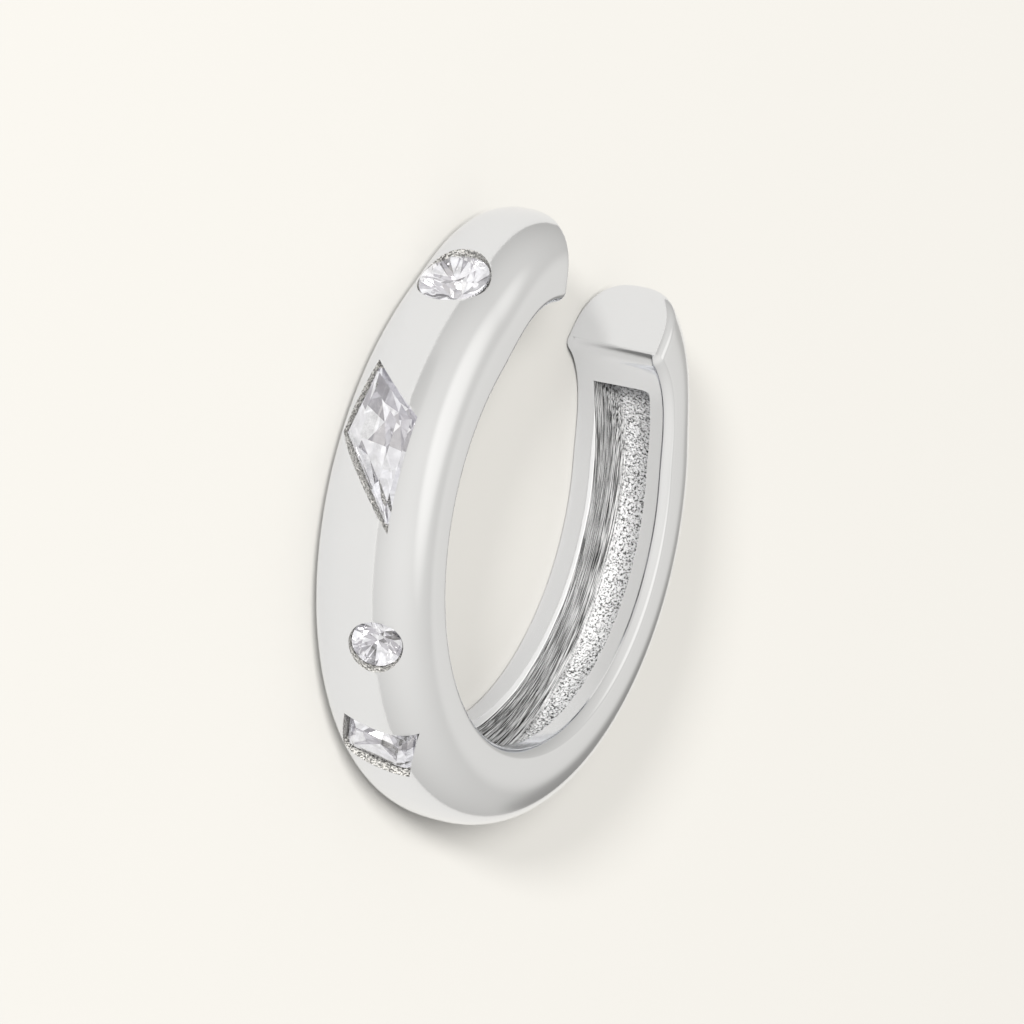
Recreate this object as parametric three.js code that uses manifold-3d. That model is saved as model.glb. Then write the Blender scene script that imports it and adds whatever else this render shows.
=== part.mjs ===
// Open ring ear cuff: a domed cast band with a hollow back and four stones set flush in its crown.
// Millimetres, +Z up. The cuff lies on its side, with the ring's axis near +Z and its gap towards +Y.
// Places round the ring are stations: angles from the middle of the band, opposite the gap.
import * as THREE from "three";
import { ConvexGeometry } from "three/addons/geometries/ConvexGeometry.js";
import { mergeVertices } from "three/addons/utils/BufferGeometryUtils.js";
import Module from "manifold-3d";

const wasm = await Module();
wasm.setup();

// The ring, and the width of its gap at the middle of the band's thickness.
const outerRadius = 7;
const gapWidth = 5.52;
const bandRows = 84;

// The band's section: flat inner face, small shoulders, flat cheeks and a full dome.
const bandThickness = 1.93;
const bandWidth = 2.64;
const innerFaceWidth = 2.26;
const shoulderHeight = 0.24;
const cheekHeight = 0.2;
const domeFullness = 2.54;
const domeSteps = 10;
const shoulderSteps = 3;
const widthTaper = 0.055; // the share by which the band is wider at its middle than at its sides

// The tips flare outwards, and their faces lean so that the outer edge reaches further into the gap.
const tipFlare = 0.095;
const tipReach = 2.1;
const endLean = 11.5; // degrees
const endRounding = 0.14;
const roundingSteps = 4;

// The hollow along the back, shallower towards its ends, with one rounded corner at each end.
const channelWidth = 1.52;
const channelDepth = 1.25;
const channelEndDepth = 0.7;
const channelMargin = 1.13;
const channelRamp = 3;
const channelFillet = 0.32;
const channelCorner = 0.26;
const channelRows = 60;
const filletSteps = 4;
const cornerSteps = 4;

// Each stone's pocket: the clearance at its walls, and how far the ledge under the girdle reaches in.
const pocketClearance = 0.045;
const ledgeWidth = 0.15;
const girdleHeight = 0.05;
const pocketSides = 32;

// The stones, from the middle of the band outwards. apart is the length of crown left before each.
// offset is across the band, tilt leans the axis that way and turn is about the axis, in degrees.
// sunk is from the band's surface down to the girdle's upper edge, along the stone's axis.
const baguette = {
  apart: 2.64,
  offset: 0.08,
  tilt: 0,
  turn: -20.2,
  sunk: 0.38,
  length: 1.3,
  width: 1.575,
  crownHeight: 0.3,
  pavilionDepth: 0.58,
};
const smallRound = {
  apart: 1.47,
  offset: 0.53,
  tilt: 17,
  turn: 11,
  sunk: 0.25,
  diameter: 1.11,
  crownHeight: 0.17,
  pavilionDepth: 0.46,
};
const kite = {
  apart: 2.23,
  offset: 0.04,
  tilt: 0,
  turn: 19.6,
  sunk: 0.4,
  length: 3.68,
  width: 1.71,
  shoulderShare: 0.38,
  tipCut: 0.12,
  shoulderCut: 0.04,
  crownHeight: 0.34,
  pavilionDepth: 0.62,
};
const largeRound = {
  apart: 1.9,
  offset: 0,
  tilt: 0,
  turn: 8,
  sunk: 0.23,
  diameter: 1.56,
  crownHeight: 0.23,
  pavilionDepth: 0.64,
};

// Step cuts, as shares: of the outline's inner radius inwards, and of the crown or pavilion in height.
const crownSteps = [
  { inwards: 0.2, height: 0.55 },
  { inwards: 0.46, height: 1 },
];
const pavilionSteps = [
  { inwards: 0.3, height: 0.42 },
  { inwards: 0.65, height: 0.8 },
  { inwards: 0.97, height: 1 },
];

// Brilliant cuts, as shares of the girdle's radius.
const tableShare = 0.57;
const starShare = 0.8;
const lowerShare = 0.24;

const silver = { color: 0xd9d9db, roughness: 0.12, metalness: 1 };
const clear = { color: 0xe9e7ee, roughness: 0.02, metalness: 0 };

const degree = Math.PI / 180;
const innerRadius = outerRadius - bandThickness;
const middleRadius = (outerRadius + innerRadius) / 2;
const cheekRadius = innerRadius + shoulderHeight;
const domeFoot = cheekRadius + cheekHeight;
const endStation = Math.PI - Math.asin(gapWidth / 2 / middleRadius);
const channelEnd = endStation - channelMargin / innerRadius;
const taperSlope = widthTaper / (cheekRadius + cheekHeight / 2);

// The band widens in proportion to the distance from the gap, so that its cheeks stay flat.
function widened(point) {
  return point.setZ(point.z * (1 - taperSlope * point.y));
}

function ringPoint(radius, station, height) {
  return widened(new THREE.Vector3(radius * Math.sin(station), -radius * Math.cos(station), height));
}

// A closed geometry through rows of points, each row a closed loop with as many points as the next.
function loft(rows) {
  const count = rows[0].length;
  const last = rows.length - 1;
  const middles = [rows[0], rows[last]].map((row) => {
    const sum = row.reduce((total, point) => total.add(point), new THREE.Vector3());
    return sum.divideScalar(count);
  });
  const index = [];
  for (let i = 0; i < count; i++) {
    const next = (i + 1) % count;
    for (let row = 0; row < last; row++) {
      const a = row * count + i;
      const b = row * count + next;
      index.push(a, b, a + count, b, b + count, a + count);
    }
    index.push(next, i, rows.length * count);
    index.push(last * count + i, last * count + next, rows.length * count + 1);
  }
  const geometry = new THREE.BufferGeometry().setFromPoints([...rows.flat(), ...middles]);
  return geometry.setIndex(index);
}

// A geometry as a solid that can be joined and cut, whichever way round its faces were wound.
function solidOf(geometry) {
  const plain = geometry.clone();
  plain.deleteAttribute("normal");
  plain.deleteAttribute("uv");
  const merged = mergeVertices(plain, 1e-5);
  const vertProperties = merged.attributes.position.array;
  const triVerts = new Uint32Array(merged.index.array);
  const made = new wasm.Manifold(new wasm.Mesh({ numProp: 3, vertProperties, triVerts }));
  if (made.volume() > 0) return made;
  triVerts.reverse();
  return new wasm.Manifold(new wasm.Mesh({ numProp: 3, vertProperties, triVerts }));
}

function geometryOf(solid) {
  const mesh = solid.getMesh();
  const geometry = new THREE.BufferGeometry();
  geometry.setAttribute("position", new THREE.BufferAttribute(mesh.vertProperties, 3));
  geometry.setIndex(new THREE.BufferAttribute(mesh.triVerts, 1));
  const faceted = geometry.toNonIndexed();
  faceted.computeVertexNormals();
  return faceted;
}

function namedMesh(name, geometry, finish) {
  const mesh = new THREE.Mesh(geometry, new THREE.MeshStandardMaterial(finish));
  mesh.name = name;
  return mesh;
}

// The band's section as radius and height, drawn in on every side by inset.
function bandSection(inset) {
  const halfWidth = bandWidth / 2 - inset;
  const innerHalf = Math.min((innerFaceWidth - inset) / 2, halfWidth * 0.99);
  const inner = innerRadius + inset;
  const domeRise = outerRadius - inset - domeFoot;
  const side = [];
  for (let i = 0; i <= shoulderSteps; i++) {
    const share = i / shoulderSteps;
    const fall = Math.sqrt(1 - (innerHalf / halfWidth) ** 2) * (1 - share);
    const height = halfWidth * Math.sqrt(1 - fall ** 2);
    side.push({ radius: inner + (cheekRadius - inner) * share, height });
  }
  for (let i = 0; i < domeSteps; i++) {
    const turn = ((i / domeSteps) * Math.PI) / 2;
    const rise = Math.sin(turn) ** (2 / domeFullness);
    const height = halfWidth * Math.cos(turn) ** (2 / domeFullness);
    side.push({ radius: domeFoot + domeRise * rise, height });
  }
  const crown = { radius: domeFoot + domeRise, height: 0 };
  const otherSide = [...side].reverse().map(({ radius, height }) => ({ radius, height: -height }));
  return [...side, crown, ...otherSide];
}

// The height of the dome's surface above the axis of the ring, at an offset across the band.
function domeRadius(offset) {
  const share = Math.abs(offset) / (bandWidth / 2);
  return domeFoot + (outerRadius - domeFoot) * (1 - share ** domeFullness) ** (1 / domeFullness);
}

// A row of the band at a station, drawn in by inset and moved on towards the gap by advance.
function bandRow(station, inset, advance) {
  const fromEnd = (endStation - Math.abs(station)) * middleRadius;
  const flare = tipFlare * Math.exp(-((fromEnd / tipReach) ** 2));
  const lean = endLean * degree * Math.max(0, 1 - fromEnd / (tipReach * 1.5)) ** 2;
  const turned = station - Math.PI / 2 + lean * Math.sign(station);
  const up = new THREE.Vector3(Math.cos(turned), Math.sin(turned), 0);
  const forward = new THREE.Vector3(-up.y, up.x, 0).multiplyScalar(Math.sign(station));
  const middle = new THREE.Vector3(Math.sin(station), -Math.cos(station), 0).multiplyScalar(middleRadius);
  middle.addScaledVector(forward, advance);
  return bandSection(inset).map(({ radius, height }) => {
    const point = middle.clone().addScaledVector(up, radius - middleRadius + flare);
    return widened(point.setZ(height));
  });
}

function bandBlank() {
  const lastStation = endStation - endRounding / middleRadius;
  const rows = [];
  for (let i = 0; i <= bandRows; i++) {
    rows.push(bandRow(lastStation * ((2 * i) / bandRows - 1), 0, 0));
  }
  for (let i = 1; i <= roundingSteps; i++) {
    const turn = ((i / roundingSteps) * Math.PI) / 2;
    const inset = endRounding * (1 - Math.cos(turn));
    const advance = endRounding * Math.sin(turn);
    rows.unshift(bandRow(-lastStation, inset, advance));
    rows.push(bandRow(lastStation, inset, advance));
  }
  return solidOf(loft(rows));
}

// The hollow's section at a station: open past the inner face, and rounded where walls meet floor.
function channelRow(station) {
  const fromEnd = channelEnd - Math.abs(station);
  const ramp = Math.min(1, (fromEnd * innerRadius) / channelRamp);
  const depth = channelEndDepth + (channelDepth - channelEndDepth) * Math.sin((ramp * Math.PI) / 2);
  const cut = Math.max(0, channelCorner - fromEnd * innerRadius);
  const low = -channelWidth / 2;
  const high = channelWidth / 2 - channelCorner + Math.sqrt(channelCorner ** 2 - cut ** 2);
  const fillet = Math.min(channelFillet, depth / 2, (high - low) / 2.2);
  const wall = [{ radius: innerRadius - bandThickness / 4, inwards: 0 }];
  for (let i = 0; i <= filletSteps; i++) {
    const turn = ((i / filletSteps) * Math.PI) / 2;
    const radius = innerRadius + depth - fillet * (1 - Math.sin(turn));
    wall.push({ radius, inwards: fillet * (1 - Math.cos(turn)) });
  }
  const highWall = [...wall].reverse();
  return [
    ...wall.map(({ radius, inwards }) => ringPoint(radius, station, low + inwards)),
    ...highWall.map(({ radius, inwards }) => ringPoint(radius, station, high - inwards)),
  ];
}

function channelCutter() {
  const cornerReach = channelCorner / innerRadius;
  const lastStation = channelEnd - cornerReach;
  const stations = [];
  for (let i = 0; i <= channelRows; i++) {
    stations.push(lastStation * ((2 * i) / channelRows - 1));
  }
  for (let i = 1; i <= cornerSteps; i++) {
    const station = lastStation + cornerReach * Math.sin(((i / cornerSteps) * Math.PI) / 2);
    stations.unshift(-station);
    stations.push(station);
  }
  return solidOf(loft(stations.map(channelRow)));
}

// Outlines are convex, in the stone's own X and Y, and run anticlockwise.
function circleOutline(diameter, sides) {
  return Array.from({ length: sides }, (_, i) => {
    const turn = (i / sides) * 2 * Math.PI;
    return new THREE.Vector2((diameter / 2) * Math.cos(turn), (diameter / 2) * Math.sin(turn));
  });
}

function baguetteOutline({ length, width }) {
  const corners = [
    [-1, -1],
    [1, -1],
    [1, 1],
    [-1, 1],
  ];
  return corners.map(([x, y]) => new THREE.Vector2((x * length) / 2, (y * width) / 2));
}

function kiteOutline({ length, width, shoulderShare }) {
  const shoulder = length * (shoulderShare - 0.5);
  return [
    new THREE.Vector2(-length / 2, 0),
    new THREE.Vector2(shoulder, -width / 2),
    new THREE.Vector2(length / 2, 0),
    new THREE.Vector2(shoulder, width / 2),
  ];
}

// What is left of an outline on the near side of a line, given by its normal and its distance.
function clipped(outline, normal, distance) {
  const kept = [];
  outline.forEach((point, i) => {
    const next = outline[(i + 1) % outline.length];
    const here = normal.dot(point) - distance;
    const there = normal.dot(next) - distance;
    if (here <= 0) kept.push(point);
    if (here * there < 0) kept.push(point.clone().lerp(next, here / (here - there)));
  });
  return kept;
}

// An outline with every edge moved inwards by a distance, or outwards where it is negative.
function moved(outline, distance) {
  const far = 4 * Math.max(...outline.map((point) => point.length()));
  let made = baguetteOutline({ length: far, width: far });
  outline.forEach((point, i) => {
    const edge = outline[(i + 1) % outline.length].clone().sub(point).normalize();
    const normal = new THREE.Vector2(edge.y, -edge.x);
    made = clipped(made, normal, normal.dot(point) - distance);
  });
  return made;
}

function atHeight(outline, height) {
  return outline.map((point) => new THREE.Vector3(point.x, point.y, height));
}

// The distance from the middle of an outline's widest place to its nearest edges.
function innerReach(outline) {
  const area = Math.abs(THREE.ShapeUtils.area(outline));
  const edges = outline.map((point, i) => point.distanceTo(outline[(i + 1) % outline.length]));
  const round = edges.reduce((sum, edge) => sum + edge, 0);
  const widths = new THREE.Box2().setFromPoints(outline).getSize(new THREE.Vector2());
  return Math.min((2 * area) / round, widths.x / 2, widths.y / 2);
}

// A stone whose facets run in steps, parallel to its edges.
function stepCut(outline, { sunk, crownHeight, pavilionDepth }) {
  const reach = innerReach(outline);
  const levels = [atHeight(outline, -sunk), atHeight(outline, -sunk - girdleHeight)];
  for (const { inwards, height } of crownSteps) {
    levels.push(atHeight(moved(outline, inwards * reach), height * crownHeight - sunk));
  }
  for (const { inwards, height } of pavilionSteps) {
    const level = -sunk - girdleHeight - height * pavilionDepth;
    levels.push(atHeight(moved(outline, inwards * reach), level));
  }
  return new ConvexGeometry(levels.flat());
}

// A brilliant: an eight-sided table, stars, kites and girdle facets above, mains and halves below.
function brilliantCut({ diameter, sunk, crownHeight, pavilionDepth }) {
  const radius = diameter / 2;
  const between = Math.cos(Math.PI / 8);
  const crownFall = (1 - starShare * between) / (1 - tableShare);
  const lowerFall = 1 - lowerShare * between;
  const bottom = -sunk - girdleHeight;
  const points = [new THREE.Vector3(0, 0, bottom - pavilionDepth)];
  for (let i = 0; i < 16; i++) {
    const turn = (i / 16) * 2 * Math.PI;
    const along = new THREE.Vector3(Math.cos(turn), Math.sin(turn), 0).multiplyScalar(radius);
    points.push(along.clone().setZ(-sunk), along.clone().setZ(bottom));
    if (i % 2 === 0) {
      points.push(along.clone().multiplyScalar(tableShare).setZ(crownHeight - sunk));
    } else {
      points.push(along.clone().multiplyScalar(starShare).setZ(crownFall * crownHeight - sunk));
      points.push(along.clone().multiplyScalar(lowerShare).setZ(bottom - lowerFall * pavilionDepth));
    }
  }
  return new ConvexGeometry(points);
}

// The pocket: straight walls, a ledge that slopes as the stone's pavilion does, and a window below.
function pocketSolids(outline, slope, { sunk }) {
  const mouth = moved(outline, -pocketClearance);
  const opening = moved(outline, ledgeWidth - pocketClearance);
  const seat = -sunk - girdleHeight - pocketClearance;
  const ledge = seat - ledgeWidth * slope;
  const through = ledge - (bandThickness - channelDepth) - channelFillet;
  const top = atHeight(mouth, bandThickness / 2);
  const upper = new ConvexGeometry([...top, ...atHeight(mouth, seat), ...atHeight(opening, ledge)]);
  const neck = atHeight(opening, ledge + pocketClearance);
  const lower = new ConvexGeometry([...neck, ...atHeight(opening, through)]);
  return [upper, lower];
}

// The place of a stone: X along the band, Z out of the crown, with its origin on the band's surface.
function seatMatrix(station, { offset, tilt, turn }) {
  const radial = new THREE.Vector3(Math.sin(station), -Math.cos(station), 0);
  const along = new THREE.Vector3(-radial.y, radial.x, 0);
  const across = new THREE.Vector3(0, 0, 1);
  const matrix = new THREE.Matrix4().makeBasis(along, across, radial);
  matrix.setPosition(ringPoint(domeRadius(offset), station, offset));
  matrix.multiply(new THREE.Matrix4().makeRotationX(-tilt * degree));
  return matrix.multiply(new THREE.Matrix4().makeRotationZ(turn * degree));
}

// The kite with its tips and shoulders cut off square.
function trimmedKite(stone) {
  const far = { length: stone.length / 2 - stone.tipCut, width: stone.width / 2 - stone.shoulderCut };
  let outline = kiteOutline(stone);
  for (const side of [-1, 1]) {
    outline = clipped(outline, new THREE.Vector2(side, 0), far.length);
    outline = clipped(outline, new THREE.Vector2(0, side), far.width);
  }
  return outline;
}

function stepSlope(outline, { pavilionDepth }) {
  const [first] = pavilionSteps;
  return (first.height * pavilionDepth) / (first.inwards * innerReach(outline));
}

function roundSlope({ pavilionDepth, diameter }) {
  return pavilionDepth / (diameter / 2);
}

function setStones() {
  const kiteEdge = trimmedKite(kite);
  const baguetteEdge = baguetteOutline(baguette);
  const largeEdge = circleOutline(largeRound.diameter, pocketSides);
  const smallEdge = circleOutline(smallRound.diameter, pocketSides);
  return [
    {
      name: "stone_baguette",
      size: baguette,
      outline: baguetteEdge,
      slope: stepSlope(baguetteEdge, baguette),
      geometry: stepCut(baguetteEdge, baguette),
    },
    {
      name: "stone_small_round",
      size: smallRound,
      outline: smallEdge,
      slope: roundSlope(smallRound),
      geometry: brilliantCut(smallRound),
    },
    {
      name: "stone_kite",
      size: kite,
      outline: kiteOutline(kite),
      slope: stepSlope(kiteEdge, kite),
      geometry: stepCut(kiteEdge, kite),
    },
    {
      name: "stone_large_round",
      size: largeRound,
      outline: largeEdge,
      slope: roundSlope(largeRound),
      geometry: brilliantCut(largeRound),
    },
  ];
}

// How far an outline reaches along the band once it is turned.
function reachAlong(outline, { turn }) {
  const origin = new THREE.Vector2();
  return Math.max(...outline.map((point) => point.clone().rotateAround(origin, turn * degree).x));
}

// The cuff as it lies: one cheek flat on the ground, and the origin under the middle of its box.
const lying = new THREE.Group();
lying.rotation.x = -Math.atan((bandWidth / 2) * taperSlope);
let band = bandBlank().subtract(channelCutter());
let travelled = 0;
for (const { name, size, outline, slope, geometry } of setStones()) {
  const reach = reachAlong(outline, size);
  travelled += size.apart + reach;
  const seat = seatMatrix(-travelled / outerRadius, size);
  travelled += reach;
  for (const pocket of pocketSolids(outline, slope, size)) {
    band = band.subtract(solidOf(pocket.applyMatrix4(seat)));
  }
  const stone = namedMesh(name, geometry, clear);
  stone.applyMatrix4(seat);
  lying.add(stone);
}
lying.add(namedMesh("band", geometryOf(band), silver));

const cuff = new THREE.Group();
cuff.add(lying);
const extent = new THREE.Box3().setFromObject(cuff, true);
const middle = extent.getCenter(new THREE.Vector3());
lying.position.set(-middle.x, -middle.y, -extent.min.z);

export default cuff;
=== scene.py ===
import math
import time
import bpy
import bmesh
from mathutils import Matrix, Vector


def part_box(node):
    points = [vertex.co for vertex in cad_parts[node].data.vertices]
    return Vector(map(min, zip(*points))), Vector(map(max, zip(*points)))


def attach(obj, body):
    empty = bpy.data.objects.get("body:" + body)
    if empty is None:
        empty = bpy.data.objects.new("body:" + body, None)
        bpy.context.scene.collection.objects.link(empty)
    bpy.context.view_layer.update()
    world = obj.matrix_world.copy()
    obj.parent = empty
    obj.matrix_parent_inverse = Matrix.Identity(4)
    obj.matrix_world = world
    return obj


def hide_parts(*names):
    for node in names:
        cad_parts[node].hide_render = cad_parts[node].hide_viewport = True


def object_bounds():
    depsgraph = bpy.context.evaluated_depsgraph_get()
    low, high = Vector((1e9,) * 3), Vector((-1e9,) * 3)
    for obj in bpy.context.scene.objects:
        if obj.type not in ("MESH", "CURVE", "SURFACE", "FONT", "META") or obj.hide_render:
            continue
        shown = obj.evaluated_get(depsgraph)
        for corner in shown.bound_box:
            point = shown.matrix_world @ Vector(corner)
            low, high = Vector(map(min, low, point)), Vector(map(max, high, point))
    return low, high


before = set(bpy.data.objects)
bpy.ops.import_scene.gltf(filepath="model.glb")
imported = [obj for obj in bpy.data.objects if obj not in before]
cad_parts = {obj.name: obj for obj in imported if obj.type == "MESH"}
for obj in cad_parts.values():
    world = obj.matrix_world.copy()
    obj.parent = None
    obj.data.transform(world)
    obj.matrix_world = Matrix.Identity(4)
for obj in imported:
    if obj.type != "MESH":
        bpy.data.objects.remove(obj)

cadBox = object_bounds()
started = time.time()
mm = 0.001

# The ring's sizes in millimetres. Places round the ring are stations: angles in degrees from the
# middle of the band, opposite the gap.
ring = {
    "outerRadius": 7.0, "thickness": 1.93, "width": 2.64, "innerFace": 2.26,
    "shoulder": 0.24, "cheek": 0.2, "fullness": 2.54, "taper": 0.055,
    "gap": 5.52, "flare": 0.095, "flareReach": 3.6, "lean": 11.5, "leanReach": 3.2,
    "rounding": 0.22, "edge": 0.05, "steps": 312, "tipStep": 4,
}
ring["innerRadius"] = ring["outerRadius"] - ring["thickness"]
ring["middleRadius"] = ring["outerRadius"] - ring["thickness"] / 2
ring["cheekRadius"] = ring["innerRadius"] + ring["shoulder"]
ring["domeFoot"] = ring["cheekRadius"] + ring["cheek"]
ring["end"] = 180 - math.degrees(math.asin(ring["gap"] / 2 / ring["middleRadius"]))
ring["slope"] = ring["taper"] / (ring["cheekRadius"] + ring["cheek"] / 2)
ring["tilt"] = -math.atan(ring["width"] / 2 * ring["slope"])  # turns the lower cheek flat on the floor


def say(text):
    print(f"[cuff] {text} at {time.time() - started:.1f} s")


# The place of the ring's centre in the frame, and the move from the ring's own axes to it.
bandLow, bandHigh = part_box("band")
ringCentre = Vector((
    cadBox[1].x - ring["outerRadius"] * mm,
    bandLow.y + ring["outerRadius"] * mm * math.cos(ring["tilt"]),
    ring["width"] / 2 * mm * math.cos(ring["tilt"]),
))
lying = Matrix.Translation(ringCentre) @ Matrix.Rotation(ring["tilt"], 4, "X")


# Camera: the photograph's view of the cuff, rolled with it.
view = {"aim": (-0.0374, 0.4364, 1.3242), "azimuth": -171.955, "elevation": 27.373,
        "distance": 129.6, "roll": 102.613, "lens": 203.37, "sensor": 36}


def addCamera():
    towards = Vector((
        math.cos(math.radians(view["azimuth"])) * math.cos(math.radians(view["elevation"])),
        math.sin(math.radians(view["azimuth"])) * math.cos(math.radians(view["elevation"])),
        math.sin(math.radians(view["elevation"])),
    ))
    place = (Vector(view["aim"]) + towards * view["distance"]) * mm
    level = (-towards).to_track_quat("-Z", "Y").to_matrix().to_4x4()
    data = bpy.data.cameras.new("photoCamera")
    data.lens = view["lens"]
    data.sensor_width = view["sensor"]
    data.clip_start = 0.01
    data.clip_end = 10
    camera = bpy.data.objects.new("photoCamera", data)
    bpy.context.scene.collection.objects.link(camera)
    roll = Matrix.Rotation(math.radians(view["roll"]), 4, "Z")
    camera.matrix_world = Matrix.Translation(place) @ level @ roll
    bpy.context.scene.camera = camera


addCamera()


def deselectAll():
    if bpy.context.mode != "OBJECT":
        bpy.ops.object.mode_set(mode="OBJECT")
    bpy.ops.object.select_all(action="DESELECT")


def editFresh(name):
    piece = bpy.context.object
    piece.name = name
    piece.data.name = name
    bpy.ops.object.mode_set(mode="EDIT")
    bpy.ops.mesh.select_mode(type="VERT")
    bpy.ops.mesh.select_all(action="DESELECT")
    return piece


def pick(piece, kind, test):
    # Selects the vertices, edges or faces that pass the test, which gets the middle in millimetres.
    bpy.ops.mesh.select_mode(type=kind)
    bpy.ops.mesh.select_all(action="DESELECT")
    shape = bmesh.from_edit_mesh(piece.data)
    parts = {"VERT": shape.verts, "EDGE": shape.edges, "FACE": shape.faces}[kind]
    for part in parts:
        middle = part.co if kind == "VERT" else sum((v.co for v in part.verts), Vector()) / len(part.verts)
        if test(middle / mm, part):
            part.select_set(True)
    shape.select_flush_mode()
    bmesh.update_edit_mesh(piece.data)


def extrudeTo(points):
    # Draws a line of vertices from the selected one, point by point.
    for start, end in zip(points, points[1:]):
        way = (Vector(end) - Vector(start)) * mm
        bpy.ops.mesh.extrude_vertices_move(TRANSFORM_OT_translate={"value": way})


sectionSteps = {"inner": 12, "shoulder": 8, "edge": 6, "dome": 40}


def bandSection():
    # The flat inner face, a small round at its edge, the shoulder, the flat cheek and the full dome.
    half, inner = ring["width"] / 2, ring["innerFace"] / 2
    steps = sectionSteps["inner"]
    side = [(ring["innerRadius"], (inner - ring["edge"]) * i / steps) for i in range(steps)]
    fall = math.sqrt(1 - (inner / half) ** 2)
    steps = sectionSteps["shoulder"]
    shoulder = [(ring["innerRadius"] + ring["shoulder"] * i / steps,
                 half * math.sqrt(1 - (fall * (1 - i / steps)) ** 2)) for i in range(steps + 1)]
    corner, after = Vector((ring["innerRadius"], inner)), Vector(shoulder[1])
    start = corner - Vector((0, ring["edge"]))
    end = corner + (after - corner).normalized() * ring["edge"]
    for i in range(sectionSteps["edge"] + 1):
        share = i / sectionSteps["edge"]
        side.append(tuple(start * (1 - share) ** 2 + corner * (2 * share * (1 - share)) + end * share ** 2))
    side += [point for point in shoulder if point[1] > end.y + 0.01]
    side.append((ring["domeFoot"] - ring["cheek"] / 2, half))
    for i in range(sectionSteps["dome"]):
        turn = math.pi / 2 * i / sectionSteps["dome"]
        rise = math.sin(turn) ** (2 / ring["fullness"])
        side.append((ring["domeFoot"] + (ring["outerRadius"] - ring["domeFoot"]) * rise,
                     half * math.cos(turn) ** (2 / ring["fullness"])))
    return side + [(ring["outerRadius"], 0)] + [(radius, -height) for radius, height in side[:0:-1]]


def ringPoint(radius, station, height):
    angle = math.radians(station)
    return Vector((radius * math.sin(angle), -radius * math.cos(angle), height))


def stationOf(point):
    return math.degrees(math.atan2(point.x, -point.y))


def drawLoop(name, section, station):
    # A closed loop of edges at a station, from a plane merged to the loop's first point.
    deselectAll()
    points = [ringPoint(radius, station, height) for radius, height in section]
    bpy.ops.mesh.primitive_plane_add(size=mm, location=(0, 0, 0))
    piece = editFresh(name)
    bpy.ops.mesh.select_all(action="SELECT")
    bpy.ops.mesh.merge(type="CENTER")
    bpy.ops.transform.translate(value=points[0] * mm)
    extrudeTo(points)
    pick(piece, "VERT", lambda middle, part: min((middle - points[i]).length for i in (0, -1)) < 1e-4)
    bpy.ops.mesh.edge_face_add()
    bpy.ops.mesh.select_all(action="SELECT")
    return piece


def spinTo(degrees, steps):
    bpy.ops.mesh.spin(steps=steps, angle=-math.radians(degrees), center=(0, 0, 0), axis=(0, 0, 1))


def tidyNormals():
    bpy.ops.mesh.select_all(action="SELECT")
    bpy.ops.mesh.remove_doubles(threshold=1e-7)
    bpy.ops.mesh.normals_make_consistent(inside=False)


def taperBand(piece):
    # Widens the piece in proportion to the distance from the gap. The factor is for the piece's
    # length along Y, and the modifier tapers about the object's origin.
    bpy.ops.object.mode_set(mode="OBJECT")
    reach = [corner[1] for corner in piece.bound_box]
    taper = piece.modifiers.new("taper", "SIMPLE_DEFORM")
    taper.deform_method = "TAPER"
    taper.deform_axis = "Y"
    taper.lock_x = True
    taper.factor = -ring["slope"] / mm * (max(reach) - min(reach))
    bpy.ops.object.modifier_apply(modifier=taper.name)


def shapeTip(piece, side):
    # Flares one end of the band outwards, leans its last loop, closes it and rounds its edge.
    end = side * ring["end"]
    isEnd = lambda middle, part: abs(stationOf(middle) - end) < 0.01
    out = ringPoint(1, end, 0)
    pick(piece, "VERT", isEnd)
    bpy.ops.transform.translate(value=out * ring["flare"] * mm, use_proportional_edit=True,
                                proportional_edit_falloff="SMOOTH", proportional_size=ring["flareReach"] * mm)
    middle = ringPoint(ring["middleRadius"] + ring["flare"], end, 0)
    bpy.ops.transform.rotate(value=-side * math.radians(ring["lean"]), orient_axis="Z",
                             center_override=middle * mm, use_proportional_edit=True,
                             proportional_edit_falloff="SMOOTH", proportional_size=ring["leanReach"] * mm)
    bpy.ops.mesh.select_mode(type="EDGE")
    bpy.ops.mesh.edge_face_add()
    bpy.ops.mesh.select_mode(type="FACE")
    bpy.ops.mesh.select_mode(type="EDGE")
    bpy.ops.mesh.bevel(offset=ring["rounding"] * mm, segments=8, affect="EDGES")


def makeBlank():
    # The first and the last step are long, so that the round at the tips fits inside them.
    piece = drawLoop("bandFine", bandSection(), -ring["end"])
    spinTo(ring["tipStep"], 1)
    spinTo(2 * (ring["end"] - ring["tipStep"]), ring["steps"])
    spinTo(ring["tipStep"], 1)
    for side in (-1, 1):
        shapeTip(piece, side)
    tidyNormals()
    taperBand(piece)
    return piece


# The hollow along the back: a tool as wide and deep as the hollow, cut out of the blank.
channel = {
    "width": 1.52, "depth": 1.25, "endDepth": 0.7, "margin": 1.25, "ramp": 3.0,
    "fillet": 0.32, "corner": 0.26, "steps": 300,
}


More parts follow.
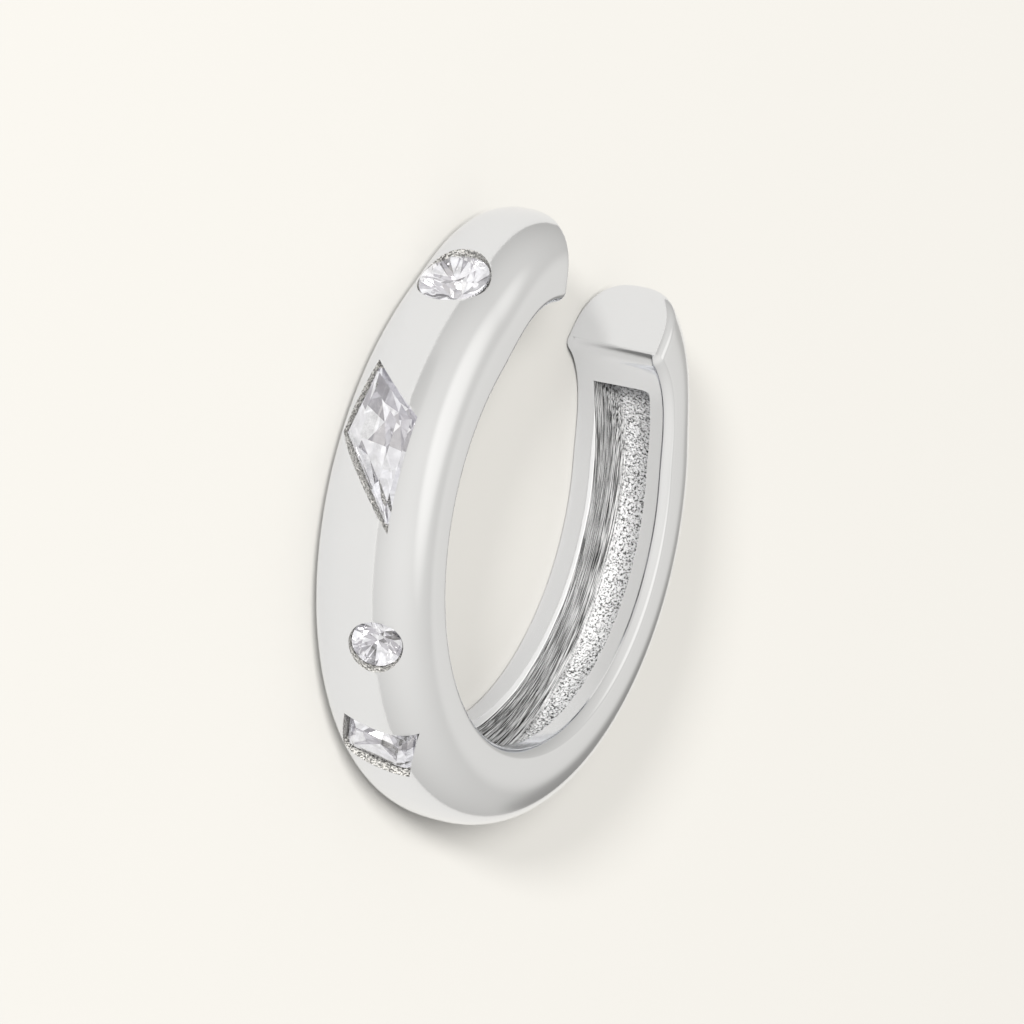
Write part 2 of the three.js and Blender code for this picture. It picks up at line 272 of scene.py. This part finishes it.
def makeChannelTool():
    half = channel["width"] / 2
    mouth = ring["innerRadius"] - ring["thickness"] / 4
    floor = ring["innerRadius"] + channel["depth"]
    end = ring["end"] - math.degrees(channel["margin"] / ring["innerRadius"])
    piece = drawLoop("channelTool", [(mouth, -half), (floor, -half), (floor, half), (mouth, half)], -end)
    spinTo(2 * end, channel["steps"])
    atEnd = lambda middle, part: abs(abs(stationOf(middle)) - end) < 0.01
    for side in (-1, 1):
        pick(piece, "VERT", lambda middle, part: abs(stationOf(middle) - side * end) < 0.01)
        rise = ringPoint(channel["endDepth"] - channel["depth"], side * end, 0) * mm
        bpy.ops.transform.translate(value=rise, use_proportional_edit=True, proportional_edit_falloff="SHARP",
                                    proportional_size=channel["ramp"] * mm)
        bpy.ops.mesh.select_mode(type="EDGE")
        bpy.ops.mesh.edge_face_add()
    tidyNormals()
    pick(piece, "EDGE", lambda middle, part: atEnd(middle, part) and abs(middle.z - half) < 0.01)
    bpy.ops.mesh.bevel(offset=channel["corner"] * mm, segments=10, affect="EDGES")
    pick(piece, "EDGE", lambda middle, part: part.calc_face_angle(0) > 1
         and middle.xy.length > ring["innerRadius"] + 0.3
         and abs(stationOf(part.verts[0].co) - stationOf(part.verts[1].co)) > 0.02
         and abs(stationOf(middle)) < end - 0.02)
    bpy.ops.mesh.bevel(offset=channel["fillet"] * mm, segments=10, affect="EDGES")
    tidyNormals()
    taperBand(piece)
    return piece


# Each stone's size and place, in millimetres and degrees. station is the middle of its table.
stones = {
    "baguette": {"node": "stone_baguette", "station": -28.9, "offset": 0.08, "tilt": 0, "turn": -20.2,
                 "sunk": 0.38, "size": (1.3, 1.575), "crown": 0.3, "pavilion": 0.58, "sides": 4,
                 "bevels": [(0.18, 0.6), (0.42, 1)], "fans": [(0.72, 0.35), (0.42, 0.72)], "spread": 1.25,
                 "keel": [(-0.35, 1), (0.35, 1)]},
    "smallRound": {"node": "stone_small_round", "station": -52.6, "offset": 0.53, "tilt": 17, "turn": 11,
                   "sunk": 0.25, "size": (1.11, 1.11), "crown": 0.17, "pavilion": 0.46, "sides": 64},
    "kite": {"node": "stone_kite", "station": -89.6, "offset": 0.04, "tilt": 0, "turn": 19.6,
             "sunk": 0.4, "size": (3.68, 1.71), "shoulder": 0.38, "crown": 0.34, "pavilion": 0.62, "sides": 4,
             "trim": 0.12, "bevels": [(0.12, 0.5), (0.4, 1)], "fans": [(0.74, 0.33), (0.45, 0.7)],
             "spread": 1.2, "keel": [(-0.3, 0.97), (0.0, 1), (0.35, 0.93)]},
    "largeRound": {"node": "stone_large_round", "station": -125.8, "offset": 0, "tilt": 0, "turn": 8,
                   "sunk": 0.15, "size": (1.56, 1.56), "crown": 0.23, "pavilion": 0.64, "sides": 64},
}
pocket = {"clearance": 0.045, "ledge": 0.15, "girdle": 0.05}


def outlineOf(stone):
    # The stone's outline in its own plane, anticlockwise, in millimetres.
    length, width = stone["size"]
    if stone["sides"] > 4:
        turns = [2 * math.pi * i / stone["sides"] for i in range(stone["sides"])]
        return [Vector((length / 2 * math.cos(turn), width / 2 * math.sin(turn))) for turn in turns]
    if "shoulder" in stone:
        shoulder = length * (stone["shoulder"] - 0.5)
        corners = ((-length / 2, 0), (shoulder, -width / 2), (length / 2, 0), (shoulder, width / 2))
        return [Vector(corner) for corner in corners]
    return [Vector((x * length / 2, y * width / 2)) for x, y in ((-1, -1), (1, -1), (1, 1), (-1, 1))]


def grown(outline, distance):
    # The outline with every edge moved outwards.
    made = []
    for before, here, after in zip(outline[-1:] + outline, outline, outline[1:] + outline[:1]):
        one, two = (here - before).normalized(), (after - here).normalized()
        normal = Vector((one.y + two.y, -one.x - two.x)).normalized()
        made.append(here + normal * (distance / (normal.x * one.y - normal.y * one.x)))
    return made


def domeRadius(offset):
    share = abs(offset) / (ring["width"] / 2)
    rise = (1 - share ** ring["fullness"]) ** (1 / ring["fullness"])
    return ring["domeFoot"] + (ring["outerRadius"] - ring["domeFoot"]) * rise


def seatMatrix(stone):
    # X along the band and Z out of its crown, with the origin on the band's surface.
    place = ringPoint(domeRadius(stone["offset"]), stone["station"], stone["offset"])
    place.z *= 1 - ring["slope"] * place.y
    turn = Matrix.Rotation(math.radians(stone["station"]), 4, "Z")
    basis = Matrix(((1, 0, 0), (0, 0, -1), (0, 1, 0))).to_4x4()
    lean = Matrix.Rotation(-math.radians(stone["tilt"]), 4, "X")
    spin = Matrix.Rotation(math.radians(stone["turn"]), 4, "Z")
    return Matrix.Translation(place * mm) @ turn @ basis @ lean @ spin


def drawOutline(name, outline, height):
    # A flat face with this outline, drawn point by point.
    deselectAll()
    points = [Vector((point.x, point.y, height)) for point in outline]
    bpy.ops.mesh.primitive_plane_add(size=mm, location=(0, 0, 0))
    piece = editFresh(name)
    bpy.ops.mesh.select_all(action="SELECT")
    bpy.ops.mesh.merge(type="CENTER")
    bpy.ops.transform.translate(value=points[0] * mm)
    extrudeTo(points)
    bpy.ops.mesh.select_all(action="SELECT")
    bpy.ops.mesh.edge_face_add()
    return piece


def makePocketTool(name, stone):
    # Straight walls, a ledge that slopes as the stone does, and a window through to the hollow.
    outline = outlineOf(stone)
    slope = stone["pavilion"] / (min(stone["size"]) / 2) * (1 if stone["sides"] > 4 else 0.9)
    seat = -stone["sunk"] - pocket["girdle"] - pocket["clearance"]
    deep = pocket["ledge"] * slope
    above, below = ring["thickness"] / 2, ring["thickness"] - channel["depth"]
    piece = drawOutline(name + "Tool", grown(outline, pocket["clearance"]), above)
    bpy.ops.mesh.extrude_region_move(TRANSFORM_OT_translate={"value": (0, 0, (seat - above) * mm)})
    bpy.ops.mesh.inset(thickness=pocket["ledge"] * mm)
    bpy.ops.transform.translate(value=(0, 0, -deep * mm))
    bpy.ops.mesh.extrude_region_move(TRANSFORM_OT_translate={"value": (0, 0, -below * mm)})
    tidyNormals()
    bpy.ops.object.mode_set(mode="OBJECT")
    piece.matrix_world = seatMatrix(stone)
    return piece


def cutBy(piece, tool):
    deselectAll()
    bpy.context.view_layer.objects.active = piece
    cut = piece.modifiers.new("cut", "BOOLEAN")
    cut.operation = "DIFFERENCE"
    cut.solver = "MANIFOLD"
    cut.material_mode = "TRANSFER"
    cut.object = tool
    bpy.ops.object.modifier_apply(modifier=cut.name)
    bpy.data.objects.remove(tool)


class Shade:
    # A socket of a material's node tree, so that shader maths is written as plain expressions.
    def __init__(self, tree, out):
        self.tree = tree
        self.out = out

    def make(self, kind, settings=None, inputs=None, output=0):
        node = self.tree.nodes.new(kind)
        for name, value in (settings or {}).items():
            setattr(node, name, value)
        for name, value in (inputs or {}).items():
            if isinstance(value, Shade):
                self.tree.links.new(value.out, node.inputs[name])
            else:
                node.inputs[name].default_value = value
        return Shade(self.tree, node.outputs[output])

    def maths(self, operation, *values):
        return self.make("ShaderNodeMath", {"operation": operation}, dict(enumerate(values)))

    def __add__(self, other):
        return self.maths("ADD", self, other)

    def __radd__(self, other):
        return self.maths("ADD", other, self)

    def __sub__(self, other):
        return self.maths("SUBTRACT", self, other)

    def __rsub__(self, other):
        return self.maths("SUBTRACT", other, self)

    def __mul__(self, other):
        return self.maths("MULTIPLY", self, other)

    def __rmul__(self, other):
        return self.maths("MULTIPLY", other, self)

    def __pow__(self, other):
        return self.maths("POWER", self, other)

    def ramp(self, low, high, start=0.0, end=1.0):
        # Runs smoothly from start to end as this value goes from low to high.
        return self.make("ShaderNodeMapRange", {"interpolation_type": "SMOOTHSTEP"},
                         {"Value": self, "From Min": low, "From Max": high, "To Min": start, "To Max": end})

    def noise(self, scale, detail=2.0, roughness=0.5):
        return self.make("ShaderNodeTexNoise", {},
                         {"Vector": self, "Scale": scale, "Detail": detail, "Roughness": roughness})

    def between(self, one, two):
        # A colour from one to two as this value goes from 0 to 1. The sockets 6, 7 and 2 are the colours'.
        return self.make("ShaderNodeMix", {"data_type": "RGBA"}, {0: self, 6: (*one, 1), 7: (*two, 1)}, 2)

    def split(self):
        return [self.make("ShaderNodeSeparateXYZ", {}, {"Vector": self}, axis) for axis in range(3)]


def newMaterial(name, settings):
    # A material with its constants set, and the point in millimetres that its textures read.
    material = bpy.data.materials.new(name)
    material.use_nodes = True
    tree = material.node_tree
    shader = tree.nodes["Principled BSDF"]
    for socket, value in settings.items():
        shader.inputs[socket].default_value = value
    point = Shade(tree, None).make("ShaderNodeTexCoord", output="Object")
    point = point.make("ShaderNodeVectorMath", {"operation": "SCALE"}, {"Vector": point, "Scale": 1 / mm})
    return material, shader, point


def feed(shader, socket, value):
    value.tree.links.new(value.out, shader.inputs[socket])


def bumpFrom(height, distance, strength=1.0):
    return height.make("ShaderNodeBump", {},
                       {"Height": height, "Distance": distance * mm, "Strength": strength})


silver = {"base": (0.83, 0.847, 0.886), "shade": 0.985, "roughness": 0.1, "smudge": 0.05}


def fromRing(point):
    # The radius, the length round the ring and the height of a point, in millimetres of the ring's axes.
    x, y, z = point.split()
    x, y, z = x - ringCentre.x / mm, y - ringCentre.y / mm, z - ringCentre.z / mm
    y = y + z * ring["tilt"]
    radius = (x * x + y * y) ** 0.5
    return radius, x.maths("ARCTAN2", x, -1 * y) * ring["outerRadius"], z


def vectorOf(x, y, z):
    return x.make("ShaderNodeCombineXYZ", {}, {"X": x, "Y": y, "Z": z})


def makePolished():
    material, shader, point = newMaterial("polishedSilver", {"Metallic": 1.0})
    smudge = point.noise(0.5, 3.0)
    fine = point.noise(14.0, 2.0)
    dull = smudge.ramp(0.35, 0.7, silver["roughness"], silver["roughness"] + silver["smudge"])
    feed(shader, "Roughness", dull + (fine - 0.5) * 0.02)
    darker = tuple(part * silver["shade"] for part in silver["base"])
    feed(shader, "Base Color", smudge.ramp(0.3, 0.7).between(darker, silver["base"]))
    return material


# The hollow's wall starts and ends as far from its side as wallFrom and wallTo say.
hollow = {
    "strip": 0.2, "soft": 0.02, "wallFrom": 0.42, "wallTo": 0.1, "lines": 43.0, "along": 0.9,
    "paintedWallShade": 0.7, "lineDepth": 1.5, "grain": 15.0, "dark": 0.015, "light": 1.0,
    "metal": 0.55, "stripMetal": 0.7, "roughness": 0.24, "stripRoughness": 0.12, "bump": 0.07,
}


def makeCast():
    # The hollow: a polished strip at its mouth, walls lined along the run and painted darker than the floor
    # as painted shade, and a sparkling grainy floor.
    material, shader, point = newMaterial("castSilver", {})
    radius, along, height = fromRing(point)
    deep = ring["innerRadius"] + hollow["strip"]
    strip = radius.ramp(deep - hollow["soft"], deep + hollow["soft"], 1.0, 0.0)
    half = channel["width"] / 2
    wall = height.maths("ABSOLUTE", height).ramp(half - hollow["wallFrom"], half - hollow["wallTo"])
    drawn = vectorOf(along * hollow["along"], radius * hollow["lines"], height * hollow["lines"])
    lines = drawn.noise(1.0, 3.0, 0.6)
    cells = point.make("ShaderNodeTexVoronoi", {"feature": "F1"}, {"Vector": point, "Scale": hollow["grain"]})
    grains = cells * 0.8 + point.noise(hollow["grain"] * 1.7, 4.0, 0.7)
    specks = point.noise(hollow["grain"] * 1.2, 5.0, 0.75)
    rough = grains * (1 - wall) + lines * wall * hollow["lineDepth"]
    feed(shader, "Normal", bumpFrom(rough * (1 - strip), hollow["bump"]))
    # The walls' lines are painted darker than the floor: painted shade on the hollow's sides, over their real
    # lined texture.
    tone = specks.ramp(0.4, 0.53) * (1 - wall) + lines.ramp(0.38, 0.62) * wall * hollow["paintedWallShade"]
    tone = tone * (1 - strip) * hollow["light"] + strip
    feed(shader, "Base Color", tone.between((hollow["dark"],) * 3, silver["base"]))
    feed(shader, "Roughness", strip.ramp(0.0, 1.0, hollow["roughness"], hollow["stripRoughness"]))
    feed(shader, "Metallic", strip.ramp(0.0, 1.0, hollow["metal"], hollow["stripMetal"]))
    return material


# The pockets' walls turn from painted light, under the stones, to rough between these two radii.
cutting = {"scale": 22.0, "dark": 0.05, "light": 0.62, "paintedLightUpTo": 6.3, "rough": 6.5, "bump": 0.07}


def makeCut():
    # The pockets' walls, rough from the cutting above the stone's edge, and painted bright below it: painted
    # light under the stone.
    material, shader, point = newMaterial("cutSilver", {"Metallic": 0.5, "Roughness": 0.3})
    rough = point.noise(cutting["scale"], 5.0, 0.7)
    feed(shader, "Normal", bumpFrom(rough, cutting["bump"]))
    # Painted light: below the stone's edge the wall is evenly bright, as if lit through the stone.
    below = fromRing(point)[0].ramp(cutting["paintedLightUpTo"], cutting["rough"], 1.0, 0.0)
    tone = rough.ramp(0.4, 0.62) * (1 - below) + below
    feed(shader, "Base Color", tone.between((cutting["dark"],) * 3, (cutting["light"],) * 3))
    return material


# The clear stones, and their lower facets, which are mirrors that also glow with painted light, standing in
# for the light that a well-cut stone returns.
glass = {"index": 2.15, "dark": (0.975, 0.97, 1.0), "light": (1.0, 1.0, 1.0)}
# dark, light and roughness are the lower facets' mirror; shade, white, lilac and grey are their painted glow.
facets = {
    "dark": (0.34, 0.335, 0.35), "light": (0.4, 0.4, 0.41), "roughness": 0.02, "shade": 0.8,
    "white": (0.7, 0.7, 0.71), "lilac": (0.27, 0.262, 0.285), "grey": (0.025, 0.025, 0.03),
}


def makeClear():
    material, shader, point = newMaterial("clearStone", {
        "Roughness": 0.0, "IOR": glass["index"], "Transmission Weight": 1.0})
    cloud = point.noise(1.2, 2.0).ramp(0.35, 0.65)
    feed(shader, "Base Color", cloud.between(glass["dark"], glass["light"]))
    return material


def makePaintedGlowBack(name, tone):
    # The stones' lower facets: mirrors with a painted glow, which stands in for the room's light that a
    # well-cut stone returns.
    material, shader, point = newMaterial(name, {
        "Metallic": 1.0, "Roughness": facets["roughness"], "Emission Strength": 1.0})
    cloud = point.noise(4.0, 3.0).ramp(0.3, 0.7)
    feed(shader, "Base Color", cloud.between(facets["dark"], facets["light"]))
    # Painted glow: the facet shines in its tone, though it is no lamp.
    feed(shader, "Emission Color", cloud.between(tuple(part * facets["shade"] for part in tone), tone))
    return material


polishedSilver = makePolished()
castSilver = makeCast()
cutSilver = makeCut()
clearStone = makeClear()
# Mirror facets with a painted glow, in white, lilac and grey.
paintedGlowBacks = [makePaintedGlowBack(tone + "PaintedGlowBack", facets[tone]) for tone in ("white", "lilac", "grey")]


rim = {"merge": 0.012, "round": 0.02, "smooth": 28}


def roundRims(piece):
    # Eases the sharp rims where the polished surface meets the hollow and the pockets.
    deselectAll()
    bpy.context.view_layer.objects.active = piece
    bpy.ops.object.mode_set(mode="EDIT")
    onRim = lambda middle, part: len({face.material_index for face in part.link_faces}) > 1
    pick(piece, "EDGE", onRim)
    bpy.ops.mesh.remove_doubles(threshold=rim["merge"] * mm)
    pick(piece, "EDGE", onRim)
    bpy.ops.mesh.bevel(offset=rim["round"] * mm, segments=2, affect="EDGES", material=0, clamp_overlap=True)
    bpy.ops.object.mode_set(mode="OBJECT")


def settle(piece):
    # Lays the piece on its side, as the cuff lies, and leaves its object at the origin.
    deselectAll()
    bpy.context.view_layer.objects.active = piece
    piece.select_set(True)
    piece.matrix_world = lying @ piece.matrix_world
    bpy.ops.object.transform_apply(location=True, rotation=True, scale=True)


def makeBand():
    piece = makeBlank()
    piece.data.materials.append(polishedSilver)
    say(f"band blank of {len(piece.data.vertices)} vertices")
    tools = [(makeChannelTool(), castSilver)]
    tools += [(makePocketTool(name, stone), cutSilver) for name, stone in stones.items()]
    for tool, material in tools:
        tool.data.materials.clear()
        tool.data.materials.append(material)
        cutBy(piece, tool)
    say(f"band cut, {len(piece.data.vertices)} vertices")
    roundRims(piece)
    deselectAll()
    bpy.context.view_layer.objects.active = piece
    piece.select_set(True)
    bpy.ops.object.shade_smooth_by_angle(angle=math.radians(rim["smooth"]))
    settle(piece)
    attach(piece, "root")
    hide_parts("band")
    say("band finished")
    return piece


band = makeBand()


# Where a brilliant's facets meet, as shares of its radius.
brilliant = {"table": 0.57, "star": 0.8, "half": 0.24}


def brilliantPoints(stone):
    # Eight-fold: table corners and star points above the girdle, half points and the culet below it.
    radius, top, bottom = stone["size"][0] / 2, -stone["sunk"], -stone["sunk"] - pocket["girdle"]
    narrow = math.cos(math.pi / 8)
    starRise = stone["crown"] * (1 - brilliant["star"] * narrow) / (1 - brilliant["table"])
    halfDrop = stone["pavilion"] * (1 - brilliant["half"] * narrow)
    points = [Vector((0, 0, bottom - stone["pavilion"]))]
    for i in range(16):
        way = Vector((math.cos(math.pi * i / 8), math.sin(math.pi * i / 8), 0)) * radius
        if i % 2 == 0:
            points.append(way * brilliant["table"] + Vector((0, 0, top + stone["crown"])))
        else:
            points.append(way * brilliant["star"] + Vector((0, 0, top + starRise)))
            points.append(way * brilliant["half"] + Vector((0, 0, bottom - halfDrop)))
    return points


def steppedPoints(stone):
    # Bevels parallel to the edges above the girdle, and facets that fan out from a keel below it.
    outline, half = outlineOf(stone), min(stone["size"]) / 2
    top, bottom = -stone["sunk"], -stone["sunk"] - pocket["girdle"]
    points = []
    for inwards, height in stone["bevels"]:
        rise = top + height * stone["crown"]
        points += [Vector((point.x, point.y, rise)) for point in grown(outline, -inwards * half)]
    for share, height in stone["fans"]:
        drop = height * stone["pavilion"]
        corners = [point * share for point in outline]
        sides = zip(corners, corners[1:] + corners[:1])
        middles = [(here + there) / 2 * stone["spread"] for here, there in sides]
        points += [Vector((point.x, point.y, bottom - drop)) for point in corners]
        points += [Vector((point.x, point.y, bottom - drop * 0.93)) for point in middles]
    points += [Vector((x * stone["size"][0] / 2, 0, bottom - height * stone["pavilion"]))
               for x, height in stone["keel"]]
    return points


# The order of the lower facets' painted glow tones, by sector, near the stone's edge and nearer its middle.
paintedGlowOrder = {"sector": 23, "edge": 0.3, "near": (0, 0, 1, 0, 2), "inside": (0, 1, 0, 2, 1)}


def paintedGlowToneOf(middle, part, girdle, stone):
    sector = int(math.degrees(math.atan2(part.normal.y, part.normal.x)) % 360 / paintedGlowOrder["sector"])
    nearEdge = middle.z > girdle - stone["pavilion"] * paintedGlowOrder["edge"]
    order = paintedGlowOrder["near" if nearEdge else "inside"]
    return order[sector % len(order)]


def trimTips(piece, stone):
    # Cuts the kite's two tips off square.
    bpy.ops.object.mode_set(mode="EDIT")
    tip = stone["size"][0] / 2 - stone["trim"]
    for side in (-1, 1):
        bpy.ops.mesh.select_all(action="SELECT")
        bpy.ops.mesh.bisect(plane_co=(side * tip * mm, 0, 0), plane_no=(side, 0, 0), use_fill=True,
                            clear_outer=True, threshold=1e-7)
    bpy.ops.object.mode_set(mode="OBJECT")


def makeStone(name, stone):
    outline = outlineOf(stone)
    points = [Vector((point.x, point.y, -stone["sunk"] - drop))
              for drop in (0, pocket["girdle"]) for point in outline]
    points += brilliantPoints(stone) if stone["sides"] > 4 else steppedPoints(stone)
    deselectAll()
    bpy.ops.mesh.primitive_plane_add(size=mm, location=(0, 0, 0))
    piece = editFresh(name)
    bpy.ops.mesh.select_all(action="SELECT")
    bpy.ops.mesh.merge(type="CENTER")
    bpy.ops.transform.translate(value=points[0] * mm)
    extrudeTo(points)
    bpy.ops.mesh.select_all(action="SELECT")
    bpy.ops.mesh.convex_hull(face_threshold=math.radians(0.5), shape_threshold=math.radians(0.5))
    tidyNormals()
    bpy.ops.object.mode_set(mode="OBJECT")
    if "trim" in stone:
        trimTips(piece, stone)
    for material in [clearStone] + paintedGlowBacks:
        piece.data.materials.append(material)
    bpy.ops.object.mode_set(mode="EDIT")
    girdle = -stone["sunk"] - pocket["girdle"]
    # Gives each lower facet one of the painted glow materials.
    for slot in range(len(paintedGlowBacks)):
        pick(piece, "FACE", lambda middle, part: part.normal.z < -0.05
             and slot == paintedGlowToneOf(middle, part, girdle, stone))
        piece.active_material_index = slot + 1
        bpy.ops.object.material_slot_assign()
    bpy.ops.object.mode_set(mode="OBJECT")
    piece.data.shade_flat()
    piece.matrix_world = seatMatrix(stone)
    settle(piece)
    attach(piece, "root")
    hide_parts(stone["node"])
    say(f"{name} of {len(piece.data.polygons)} facets")


for name, stone in stones.items():
    makeStone(name, stone)


# The floor, and the soft light of a white studio. up, x and y are the shares by which the room's light
# changes that way, and each glow lightens or darkens the room round an azimuth and elevation.
studio = {
    "floor": 0.3, "size": 1.2, "warm": (1, 0.972, 0.911),
    "room": 0.66, "up": 0.255, "x": -0.117, "y": -0.063,
}
glows = [
    {"azimuth": 45, "elevation": 68, "inner": 9, "outer": 26, "add": 0.25},
    {"azimuth": 152, "elevation": 15, "inner": 6, "outer": 20, "add": -0.08},
    {"azimuth": 12, "elevation": 26, "inner": 5, "outer": 17, "add": 0.15},
    {"azimuth": 358, "elevation": 7, "inner": 4, "outer": 16, "add": -0.24},
]
lights = [
    {"name": "front", "azimuth": 178, "elevation": 36, "distance": 1800, "size": 600, "power": 97.0},
    {"name": "key", "azimuth": 177, "elevation": 17, "distance": 1800, "size": 220, "power": 62.0},
]


def wayTo(azimuth, elevation):
    turn, rise = math.radians(azimuth), math.radians(elevation)
    return Vector((math.cos(turn) * math.cos(rise), math.sin(turn) * math.cos(rise), math.sin(rise)))


def makeFloor():
    deselectAll()
    bpy.ops.mesh.primitive_plane_add(size=studio["size"], location=(0, 0, 0))
    floor = bpy.context.object
    floor.name = "floor"
    material, shader, point = newMaterial("paleFloor", {"Roughness": 0.9, "Specular IOR Level": 0.1})
    feed(shader, "Base Color", point.noise(0.05, 2.0).ramp(0.3, 0.7).between(
        (studio["floor"] * 0.995,) * 3, (studio["floor"],) * 3))
    floor.data.materials.append(material)


def makeWorld():
    # A white room, which the polished surfaces mirror.
    world = bpy.data.worlds.new("studio")
    world.use_nodes = True
    tree = world.node_tree
    x, y, up = Shade(tree, None).make("ShaderNodeTexCoord", output="Generated").split()
    light = studio["room"] + up * studio["up"] + x * studio["x"] + y * studio["y"]
    for glow in glows:
        way = wayTo(glow["azimuth"], glow["elevation"])
        near = x * way.x + y * way.y + up * way.z
        outer, inner = math.cos(math.radians(glow["outer"])), math.cos(math.radians(glow["inner"]))
        light = light + near.ramp(outer, inner, 0.0, glow["add"])
    feed(tree.nodes["Background"], "Strength", light)
    tree.nodes["Background"].inputs["Color"].default_value = (*studio["warm"], 1)
    bpy.context.scene.world = world


def addLight(settings):
    data = bpy.data.lights.new(settings["name"], "AREA")
    data.shape = "DISK"
    data.size = settings["size"] * mm
    data.energy = settings["power"]
    data.color = studio["warm"]
    light = bpy.data.objects.new(settings["name"], data)
    bpy.context.scene.collection.objects.link(light)
    way = wayTo(settings["azimuth"], settings["elevation"])
    facing = way.to_track_quat("Z", "Y").to_matrix().to_4x4()
    light.matrix_world = Matrix.Translation(way * settings["distance"] * mm) @ facing
    light.visible_glossy = False


makeFloor()
makeWorld()
for settings in lights:
    addLight(settings)
bpy.context.scene.view_settings.view_transform = "Standard"

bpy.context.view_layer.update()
say("scene finished")
